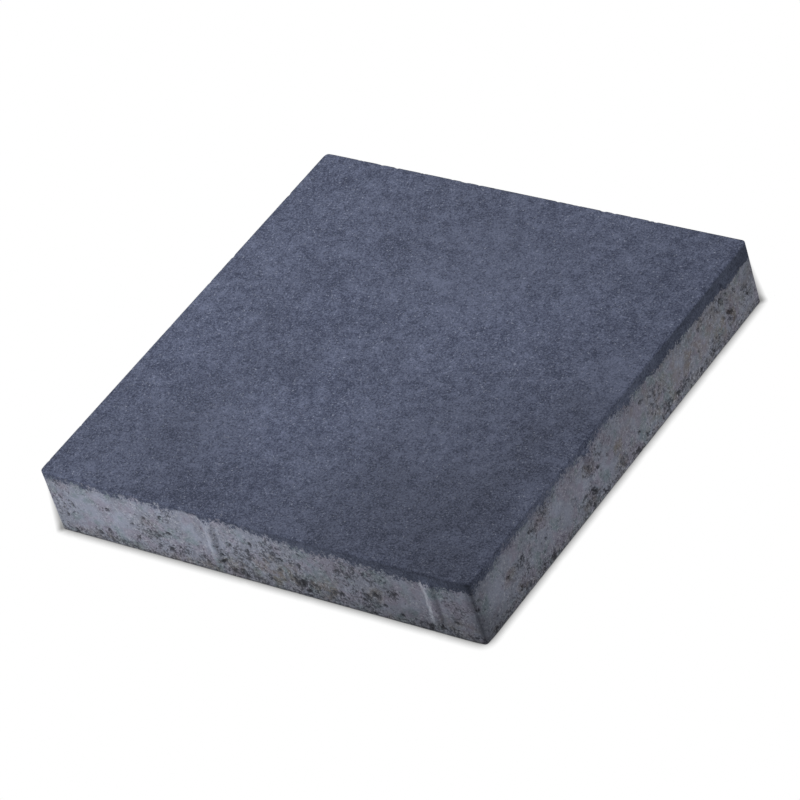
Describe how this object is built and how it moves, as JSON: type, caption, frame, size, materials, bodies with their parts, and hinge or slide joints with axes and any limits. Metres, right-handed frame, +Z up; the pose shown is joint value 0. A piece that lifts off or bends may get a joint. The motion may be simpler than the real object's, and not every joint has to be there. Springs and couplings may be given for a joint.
{
  "type": "concrete paving slab",
  "caption": "Square concrete paving slab with a dark facing on its walking face, a lighter core and small spacer nibs on its sides.",
  "frame": {"origin": "middle of the underside, in the plane that rests on the bed", "axes": "+Z up through the slab, out of the walking face; +X and +Y along its sides, so that the picture's left side faces -Y and its right side faces +X"},
  "size_m": [0.302, 0.302, 0.045],
  "materials": {
    "concrete": "matte cast concrete, anthracite facing on top and pale grey core at the sides"
  },
  "bodies": {
    "root": {"paving_slab": "concrete"}
  },
  "joints": []
}
